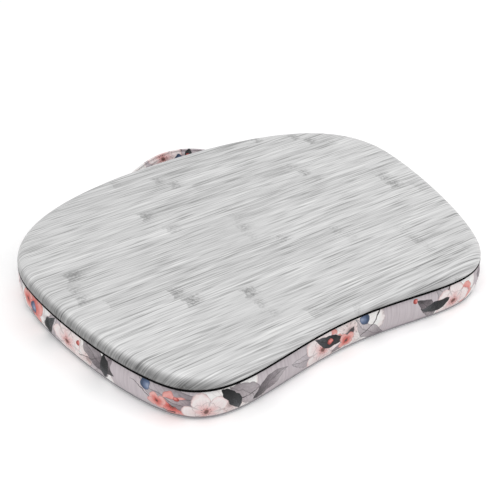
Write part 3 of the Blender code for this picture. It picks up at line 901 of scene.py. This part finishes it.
@dataclass
class Board:
    """The foil skin on its fibreboard core, and the strips of tape that hold it on the cushion's panel."""

    outline: Outline
    bottom: float = 31.3 * MM
    top: float = 41.1 * MM
    edge_radius: float = 8.5 * MM
    rim_segments: int = 10
    flat_ring: float = 4 * MM
    # The way the rim faces where its colour gets the most painted shade.
    end_side: Vector = Vector((-0.84, -0.54, 0.0))
    foil_thickness: float = 0.5 * MM
    columns: int = 480
    tapes: int = 4

    def build(self) -> None:
        """Makes the foil and finishes the core, the panel and the tapes."""
        radius = self.edge_radius
        rim = arc((-radius, self.top - radius), radius, math.pi / 2, 0, self.rim_segments)
        profile = [(-radius - self.flat_ring, self.top), *rim, (0.0, self.bottom)]
        skin = self.outline.run(profile, self.columns, capped=True)
        self.lay_print(skin, [profile[0][0] + reach for reach in lengths(profile)])
        skin.turned_out()
        shape = skin.turned_from(self.bottom)
        foil = piece("board_foil", shape, BambooFoil().material(), "surface_foil", DESK, "surface_foil")
        # Painted shade: how far each point faces that way, which darkens the foil's colour on the rim.
        bent = foil.data.attributes.new(PAINTED_RIM_SHADE, "FLOAT", "POINT")
        bent.data.foreach_set("value", [vertex.normal.dot(self.end_side) for vertex in foil.data.vertices])
        walled(foil, self.foil_thickness)
        self.finish(FIBREBOARD, "board_core")
        self.finish(HARDBOARD, "backer_panel")
        self.finish(FOAM_TAPE, *(f"mounting_tape_{number + 1}" for number in range(self.tapes)))

    def lay_print(self, skin: Loft, reaches: Sequence[float]) -> None:
        """Lets the print run on over the rim, as it does where flat foil is wrapped round it.

        Args:
            skin: the foil's skin.
            reaches: how far outside the outline each row would lie, had the foil stayed flat.
        """
        layer = skin.shape.loops.layers.uv.new(FOIL_MAP)
        charts = [self.outline.ring(self.columns, reach, 0) for reach in reaches]
        places = {vertex: place for row, chart in zip(skin.rows, charts) for vertex, place in zip(row, chart)}
        for face in skin.shape.faces:
            for loop in face.loops:
                loop[layer].uv = places[loop.vert].xy

    def finish(self, finish: Grained, *nodes: str) -> None:
        """Gives solids that stay as they are their material.

        Args:
            finish: what they are made of.
            *nodes: the solids.
        """
        material = finish.material()
        for node in nodes:
            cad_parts[node].material_slots[0].material = material
            LOG.info("%s: finished as %s", node, finish.name)


@dataclass
class Piping:
    """The black cord in its bias tape, with a flat lip that is caught between the board and the hem."""

    outline: Outline
    top: float = 31.0 * MM
    radius: float = 1.25 * MM
    proud: float = 0.3 * MM
    lip_width: float = 9.0 * MM
    lip_thickness: float = 0.5 * MM
    steps: int = 12
    columns: int = 480

    def build(self) -> None:
        """Runs the cord and its lip round the board."""
        lip_angle = math.asin((self.radius - self.lip_thickness) / self.radius)
        middle = (self.proud - self.radius, self.top - self.radius)
        profile = arc(middle, self.radius, math.pi / 2, -math.pi - lip_angle, self.steps)
        lip_end = middle[0] - self.lip_width
        profile += [(lip_end, self.top - self.lip_thickness), (lip_end, self.top), profile[0]]
        skin = self.outline.run(profile, self.columns)
        skin.unwrap(self.outline.marks(self.columns), lengths(profile))
        piece("edge_piping", skin.weld().turned_out(), PIPING_TWILL.material(), "piping", DESK, "top_piping")


@dataclass
class Cushion:
    """The printed side and the plain underside, sewn together, with the foam, wadding and staples they hide."""

    outline: Outline
    print_finish: Material
    seam_height: float = 2.2 * MM
    side_top: float = 28.3 * MM
    hem_top: float = 30.2 * MM
    hem_width: float = 16 * MM
    bulge: float = 1.0 * MM
    tuck: float = 1.5 * MM
    allowance: float = 6.0 * MM
    fabric: float = 0.8 * MM
    side_rows: int = 11
    columns: int = 440
    rise_width: float = 14 * MM
    rise_rows: int = 8
    gap: float = 0.3 * MM
    foam_bottom: float = 5.1 * MM
    foam_top: float = 25.8 * MM
    foam_ease: float = 0.6 * MM
    wadding_steps: int = 6
    sewn_zone: float = 104 * MM
    eased_zone: float = 20 * MM
    sewn_give: float = 0.15
    staples: int = 44
    staple_size: tuple[float, float, float] = (9.5 * MM, 0.7 * MM, 0.5 * MM)
    staple_inset: float = 13.5 * MM
    staple_bevel: float = 0.12 * MM

    def build(self) -> None:
        """Makes the cushion from the outside in."""
        self.side()
        self.underside()
        self.foam()
        self.wadding()
        self.staple_row()

    def outset(self, share: float) -> float:
        """How far the side stands out, at a share of the way from its seam to its top."""
        return (self.bulge + self.tuck) * 4 * share * (1 - share) - self.tuck

    def give(self, point: Vector) -> float:
        """How freely the side fills out: hardly at all behind the strap, which is sewn to it."""
        clear = min(max((abs(point.x) - self.sewn_zone) / self.eased_zone, 0), 1) if point.y > 0 else 1
        return self.sewn_give + (1 - self.sewn_give) * clear

    def side(self) -> None:
        """The printed side: seam allowance, filled side, shoulder under the piping, and hem over the panel."""
        lip = self.fabric / 4
        profile = [(-self.tuck - self.allowance, self.seam_height), (-self.tuck - 2 * lip, self.seam_height)]
        for share in shares(self.side_rows):
            height = self.seam_height + (self.side_top - self.seam_height) * share
            profile.append((self.outset(share), height + (0 if share else lip)))
        shoulder = self.hem_top - self.side_top
        profile += [(-self.tuck - shoulder, self.hem_top), (-self.hem_width, self.hem_top)]
        skin = self.outline.run(profile, self.columns)
        skin.unwrap(self.outline.marks(self.columns), [reach - self.allowance for reach in lengths(profile)])
        shape = skin.turned_from(self.hem_top / 2)
        made = piece("cushion_side", shape, self.print_finish, "printed_fabric", DESK, "cover_boxing")
        sewn, count = 3 * self.columns, len(profile) * self.columns
        Filling().apply(made, [*range(sewn), *range(count - sewn, count)], self.give)
        smooth = made.modifiers.new("smooth", "SUBSURF")
        smooth.levels = smooth.render_levels = 1
        walled(made, self.fabric)

    def underside(self) -> None:
        """The plain underside: flat where it rests, and drawn up to the seam round its edge."""
        flat_edge = -self.tuck - self.rise_width
        rim_height = self.seam_height - self.gap - self.fabric
        profile = [(flat_edge - self.rise_width, 0.0)]
        profile += [(flat_edge + self.rise_width * share, rim_height * share**2) for share in shares(self.rise_rows)]
        profile.append((-self.tuck - self.fabric, self.seam_height - self.gap))
        skin = self.outline.run(profile[::-1], self.columns)
        inner = skin.rows[-1]
        for share in (0.75, 0.5, 0.25):
            skin.grow([vertex.co * share for vertex in inner])
        bmesh.ops.contextual_create(skin.shape, geom=skin.edges(-1))
        shape, finish = skin.turned_from(self.hem_top / 2), UNDERSIDE_WEAVE.material()
        made = piece("cushion_underside", shape, finish, "underside_fabric", DESK, "cover_underside")
        held = [*range(2 * self.columns), *range(self.rise_rows * self.columns, len(made.data.vertices))]
        Filling(outward=0.5 * MM, inward=0.4 * MM).apply(made, held, lambda point: 1.0)
        for vertex in made.data.vertices:
            vertex.co.z = max(vertex.co.z, 0.0)
        walled(made, self.fabric)

    def foam(self) -> None:
        """The block of foam, cut to the side's bulge and eased back from the cloth."""
        profile = []
        for level in shares(self.side_rows):
            height = self.foam_bottom + (self.foam_top - self.foam_bottom) * level
            share = (height - self.seam_height) / (self.side_top - self.seam_height)
            profile.append((self.outset(share) - self.fabric - self.gap - self.foam_ease, height))
        shape = self.outline.run(profile, self.columns // 2).close_ends().turned_out()
        made = piece("foam_block", shape, CUT_FOAM.material(), "foam", DESK, "foam_pad")

    def wadding(self) -> None:
        """The soft sheet under the foam, with a rounded edge."""
        edge = -self.tuck - self.rise_width
        bottom = self.fabric + self.gap
        top = self.foam_bottom - self.gap
        round_off = (top - bottom) / 2
        middle = (edge - round_off, bottom + round_off)
        profile = arc(middle, round_off, -math.pi / 2, math.pi / 2, self.wadding_steps)
        shape = self.outline.run(profile, self.columns // 2).close_ends().turned_out()
        made = piece("wadding_sheet", shape, WADDING.material(), "wadding", DESK, "wadding_layer")

    def staple_row(self) -> None:
        """Staples that hold the hem on the panel, inside the piping's lip."""
        shape = bmesh.new()
        for number in range(self.staples):
            distance = self.outline.length * (number + 0.5) / self.staples
            middle = self.outline.at(distance, -self.staple_inset, self.hem_top + self.staple_size[2] / 2)
            along = self.outline.at(distance + MM) - self.outline.at(distance - MM)
            bmesh.ops.create_cube(shape, size=1.0, matrix=laid(middle, along, self.staple_size))
        bevel = {"offset_type": "OFFSET", "segments": 1, "profile": 0.5, "affect": "EDGES", "material": -1}
        bmesh.ops.bevel(shape, geom=shape.edges[:], offset=self.staple_bevel, **bevel)
        piece("hem_staples", shape, STAPLE_WIRE.material(), "backer_panel", DESK)


@dataclass
class StrapHandle:
    """The padded strap: a printed sleeve, topstitched along both edges and sewn flat to the back at its ends."""

    # The corners that each run of a boxed cross goes between, and the shares of a pitch that a stitch covers.
    BOX: ClassVar = ((0, 1), (1, 2), (2, 3), (3, 0), (0, 2), (1, 3))
    STITCHED: ClassVar = (0.1, 0.85)

    outline: Outline
    print_finish: Material
    height: float = 21 * MM
    middle: float = 16.5 * MM
    half_span: float = 73.5 * MM
    lean: float = 14 * MM
    reach: float = 33.5 * MM
    thickness: float = 5.6 * MM
    sewn_thickness: float = 2.4 * MM
    sewn_span: float = 22 * MM
    sewn_outset: float = 2.5 * MM
    hinge_y: float = 166.467 * MM
    blend_start: float = 156.5 * MM
    blend_end: float = 177 * MM
    sleeve: float = 0.45 * MM
    section_steps: int = 26
    stitch_share: float = 0.75
    stitch: float = 2.3 * MM
    pitch: float = 3.1 * MM
    thread: float = 0.5 * MM
    run_shares: tuple[float, ...] = (0.43, 0.44, 0.51, 0.22)
    core_shares: tuple[float, float] = (0.62, 0.56)
    core_steps: int = 20
    sewn_steps: int = 14
    loop_steps: tuple[int, int] = (64, 48)
    pad_end: float = 0.86
    bead: tuple[float, float, float] = (0.87, 0.13, 0.5)
    valley: tuple[float, float] = (0.58, 0.16)
    lip: float = 0.12
    box_length: float = 15 * MM
    box_inset: float = 4 * MM
    box_share: float = 0.6
    print_start: float = 3.135
    print_low: float = 3 * MM

    def build(self) -> None:
        """Makes the sleeve, its padding and its stitches."""
        self.path = self.line()
        self.along = lengths(self.path)
        self.make_sleeve()
        self.make_core()
        self.make_topstitch()
        self.make_box_stitches()

    def line(self) -> Ring:
        """The middle of the strap in plan, from its left sewn end to its right one.

        Returns:
            Points about 1.5 mm apart.
        """
        sewn = [self.half_span + self.sewn_span * share for share in shares(self.sewn_steps)]
        left = [self.outline.back_at(-x, self.sewn_outset) for x in reversed(sewn)]
        right = [self.outline.back_at(x, self.sewn_outset) for x in sewn]
        crown = Vector((self.lean, self.outline.half_depth + self.reach, 0))
        left_root, left_crown, right_crown, right_root = [share * self.half_span for share in self.run_shares]
        leaving = left[-1] + (left[-1] - left[-5]).normalized() * left_root
        arriving = right[0] + (right[0] - right[4]).normalized() * right_root
        up, down = self.loop_steps
        rising = interpolate_bezier(left[-1], leaving, crown - Vector((left_crown, 0, 0)), crown, up)
        falling = interpolate_bezier(crown, crown + Vector((right_crown, 0, 0)), arriving, right[0], down)
        return left[:-1] + rising[:-1] + falling + right[1:]

    def thickness_at(self, point: Vector) -> float:
        """How thick the strap is: thin where it is sewn down, and full from the hinge on.

        Args:
            point: a place on its middle line.

        Returns:
            The thickness there.
        """
        start = self.outline.half_depth + self.sewn_outset
        share = min(max((point.y - start) / (self.hinge_y - start), 0), 1)
        return self.sewn_thickness + (self.thickness - self.sewn_thickness) * share * share * (3 - 2 * share)

    def swell(self, share: float) -> float:
        """The section's swell: a pad, a stitched valley and a narrow bead along the edge.

        Args:
            share: how far up or down it is, as a share of half the strap's height.

        Returns:
            The half thickness there, as a share of the pad's.
        """
        pad = (1 - min(share / self.pad_end, 1) ** 4) ** 0.5
        middle, half, full = self.bead
        bead = full * (1 - min(abs(share - middle) / half, 1) ** 2) ** 0.5
        depth, width = self.valley
        dip = 1 - depth + depth * min(abs(share - self.stitch_share) / width, 1) ** 1.3
        return max(pad if share < self.stitch_share else 0, bead, self.lip if share < 1 else 0) * dip

    def station(self, distance: float) -> tuple[Vector, Vector]:
        """The strap's middle and its outward direction at a distance along it.

        Args:
            distance: how far from the left end.

        Returns:
            The point and the unit normal in plan.
        """
        index, share = locate(self.along, distance)
        run = (self.path[min(index + 2, len(self.path) - 1)] - self.path[max(index - 1, 0)]).normalized()
        return self.path[index].lerp(self.path[index + 1], share), Vector((-run.y, run.x, 0))

    def on_sleeve(self, distance: float, share: float, side: int) -> Vector:
        """A point on the sleeve's skin.

        Args:
            distance: how far from the left end.
            share: its height as a share of half the strap's height.
            side: 1 on the outer face and -1 on the inner one.

        Returns:
            The point.
        """
        point, outward = self.station(distance)
        half = self.thickness_at(point) / 2 * self.swell(abs(share))
        return point + outward * half * side + UP * (self.middle + self.height / 2 * share)

    def make_sleeve(self) -> None:
        """The printed sleeve, swollen between its two rows of stitching."""
        # The section's points lie a little closer together towards its two edges.
        even = [2 * share - 1 for share in shares(self.section_steps)]
        levels = [0.25 * math.sin(math.pi / 2 * share) + 0.75 * share for share in even]
        section = [(level, 1) for level in levels] + [(level, -1) for level in levels[-2:0:-1]]
        rings = [[self.on_sleeve(distance, share, side) for share, side in section] for distance in self.along]
        skin = Loft(rings)
        crown = rings[len(rings) // 2]
        girth = lengths([*crown, crown[0]])
        # Both faces are cut from the same run of the print, so it turns back at the fold.
        up = [self.print_low + min(place, girth[-1] - place) for place in girth]
        skin.unwrap(up, [self.print_start + place for place in self.along], turned=True)
        shape = skin.close_ends().turned_out()
        nodes = ("handle_strap", "handle_root_left", "handle_root_right")
        made = piece("strap_sleeve", shape, self.print_finish, "printed_fabric", None, *nodes)
        walled(made, self.sleeve)
        self.bend(made)

    def bend(self, made: Object) -> None:
        """Bakes a piece's placement into its mesh."""
        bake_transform(made)

    def make_core(self) -> None:
        """The webbing inside the loop."""
        high, wide = [share * size / 2 for share, size in zip(self.core_shares, (self.height, self.thickness))]
        circle = arc((0, 0), 1, 0, math.tau, self.core_steps)[:-1]
        # The roots of its cosines and sines square the section off.
        section = [[math.copysign(abs(part) ** 0.5, part) for part in place] for place in circle]
        rings = []
        for distance, place in zip(self.along, self.path):
            if place.y > self.hinge_y + MM:
                point, outward = self.station(distance)
                rings.append([point + outward * wide * out + UP * (self.middle + high * up) for out, up in section])
        shape = Loft(rings).close_ends().turned_out()
        made = piece("strap_padding", shape, WEBBING.material(), "handle_padding", HANDLE, "handle_core")

    def sew(self, shape: Shape, start: Vector, end: Vector) -> None:
        """Adds a stitch to a shape: a slim bead of thread from where it comes out to where it goes in."""
        place = laid((start + end) / 2, end - start, ((end - start).length, self.thread, self.thread))
        bmesh.ops.create_icosphere(shape, subdivisions=1, radius=0.5, matrix=place)

    def make_topstitch(self) -> None:
        """Two rows of stitches on each face of the strap, in the valleys beside its edges."""
        shape = bmesh.new()
        count = int((self.along[-1] - 2 * self.pitch) / self.pitch)
        for number in range(count):
            start = self.pitch * (number + 1)
            for share in (-self.stitch_share, self.stitch_share):
                for side in (-1, 1):
                    ends = (self.on_sleeve(place, share, side) for place in (start, start + self.stitch))
                    self.sew(shape, *ends)
        made = piece("strap_topstitch", shape, THREAD.material(), "printed_fabric", None)
        self.bend(made)

    def make_box_stitches(self) -> None:
        """A boxed cross of stitches that fastens each sewn end."""
        shape = bmesh.new()
        for base, way in ((0.0, 1), (self.along[-1], -1)):
            near, far = (base + way * place for place in (self.box_inset, self.box_inset + self.box_length))
            corners = ((near, -1), (far, -1), (far, 1), (near, 1))
            for first, last in self.BOX:
                start, end = ((place, self.box_share * side) for place, side in (corners[first], corners[last]))
                span = math.hypot(end[0] - start[0], (end[1] - start[1]) * self.height / 2)
                count = max(round(span / self.pitch), 1)
                for number in range(count):
                    ends = [(number + part) / count for part in self.STITCHED]
                    places = [[a + (b - a) * share for a, b in zip(start, end)] for share in ends]
                    self.sew(shape, *(self.on_sleeve(*place, 1) for place in places))
        piece("strap_box_stitches", shape, THREAD.material(), "printed_fabric", DESK)


@dataclass(frozen=True)
class Lamp:
    """A soft square lamp that points at the desk."""

    name: str
    place: tuple[float, float, float]
    size: float
    power: float
    glint: float = 1.0


@dataclass
class Studio:
    """A pale floor, soft lamps and the camera."""

    target: Vector = Vector((-0.0126, -0.0173, 0.030))
    distance: float = 0.785
    azimuth: float = math.radians(-33.50)
    elevation: float = math.radians(35.21)
    lens: float = 63.144
    sensor: float = 36.0
    ambient: float = 0.605
    floor_size: float = 1.8
    floor_drop: float = 0.4 * MM
    floor_tone: float = 0.87
    floor_seen: float = 1.17
    lamps: tuple[Lamp, ...] = (
        Lamp("key", (1.0, -1.2, 1.2), 0.9, 6.5),
        Lamp("top", (0.1, 0.1, 2.2), 1.8, 14.0),
        Lamp("left_fill", (-1.8, -0.6, 0.4), 1.4, 8.0, 0.0),
    )

    def build(self) -> None:
        """Sets the stage, the lamps and the camera."""
        bpy.context.scene.view_settings.view_transform = "Standard"
        self.make_floor()
        self.make_world()
        for lamp in self.lamps:
            light = bpy.data.lights.new(lamp.name, "AREA")
            light.size = lamp.size
            light.energy = lamp.power
            light.specular_factor = lamp.glint
            self.stand(lamp.name, light, Vector(lamp.place))
        camera = bpy.data.cameras.new("camera")
        camera.lens = self.lens
        camera.sensor_width = self.sensor
        camera.clip_start = 0.01
        flat = math.cos(self.elevation)
        back = Vector((math.sin(self.azimuth) * flat, -math.cos(self.azimuth) * flat, math.sin(self.elevation)))
        bpy.context.scene.camera = self.stand("camera", camera, self.target + back * self.distance)

    def stand(self, name: str, data: Any, place: Vector) -> Object:
        """Puts a lamp or the camera in its place, turned to the desk.

        Args:
            name: its name.
            data: the lamp or the camera.
            place: where it stands.

        Returns:
            The object.
        """
        made = linked(name, data)
        made.location = place
        made.rotation_mode = "QUATERNION"
        made.rotation_quaternion = (self.target - place).to_track_quat("-Z", "Y")
        return made

    def make_floor(self) -> None:
        """A pale matt floor that shows white to the eye and in reflections, and keeps the desk's shadow."""
        g = Graph.of_material("matt_paper_sweep")
        tone = g.add("MapRange", self.seen(g), 0.0, 1.0, self.floor_tone, self.floor_seen)
        paper = g.add("VectorMath", (1.0,) * 3, tone, operation="SCALE")
        g.add("OutputMaterial", Surface=g.add("BsdfDiffuse", Color=paper))
        shape, half = bmesh.new(), self.floor_size / 2
        drop = Matrix.Translation((0, 0, -self.floor_drop))
        bmesh.ops.create_grid(shape, x_segments=1, y_segments=1, size=half, matrix=drop)
        meshed("floor", shape, g.owner)

    def seen(self, g: Graph) -> Link:
        """1 for rays of the eye, of reflections and through glass, and 0 for the light that falls on things."""
        camera, glossy, through = g.add("LightPath", out=("Is Camera Ray", "Is Glossy Ray", "Is Transmission Ray"))
        return g.add("MAXIMUM", g.add("MAXIMUM", camera, glossy), through)

    def make_world(self) -> None:
        """A plain surround that is white to the eye and in reflections, and softer as light."""
        g = Graph(bpy.data.worlds.new("surround"))
        bpy.context.scene.world = g.owner
        strength = g.add("MapRange", self.seen(g), 0.0, 1.0, self.ambient, 1.0)
        surround = g.add("Background", Color=linear("FFFFFF"), Strength=strength)
        g.add("OutputWorld", Surface=surround)


def main() -> None:
    """Builds the desk's parts and the studio."""
    logging.basicConfig(level=logging.INFO, format="%(name)s: %(message)s")
    low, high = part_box("surface_foil")
    outline = Outline((high.x - low.x) / 2, (high.y - low.y) / 2)
    cloth = PrintedWeave().material()
    for part in (Board(outline), Piping(outline), Cushion(outline, cloth), StrapHandle(outline, cloth), Studio()):
        part.build()
        LOG.info("%s is built", type(part).__name__)


if __name__ == "__main__":
    main()
